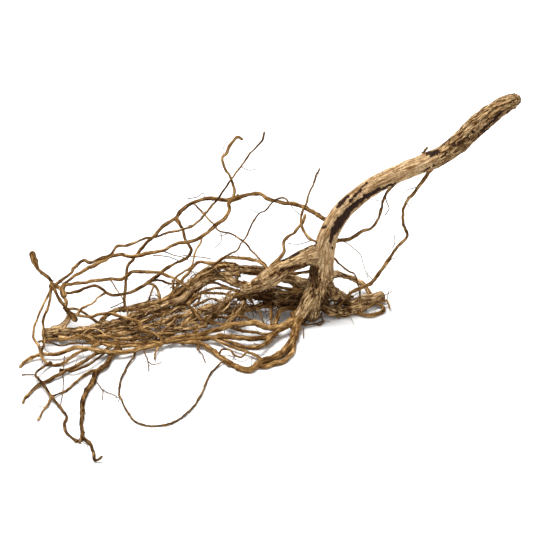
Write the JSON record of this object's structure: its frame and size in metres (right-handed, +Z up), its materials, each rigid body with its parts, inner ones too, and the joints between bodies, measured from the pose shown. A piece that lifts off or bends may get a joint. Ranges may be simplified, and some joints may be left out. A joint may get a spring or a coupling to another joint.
{
  "type": "dried melastoma root",
  "caption": "Dried root of a melastoma shrub: a leaning woody stem on a small crown, with a long bundle of thin, wandering roots that lies on the table to one side.",
  "frame": {"origin": "under the root crown, on the table that the root rests on", "axes": "+Z up from the table, +X along the root's length towards the stem's cut end, -X towards the root tips, -Y towards the front"},
  "size_m": [0.4006, 0.2785, 0.1991],
  "materials": {
    "wood": "dry, rough bark"
  },
  "bodies": {
    "root": {"melastoma_root": "wood"}
  },
  "joints": []
}
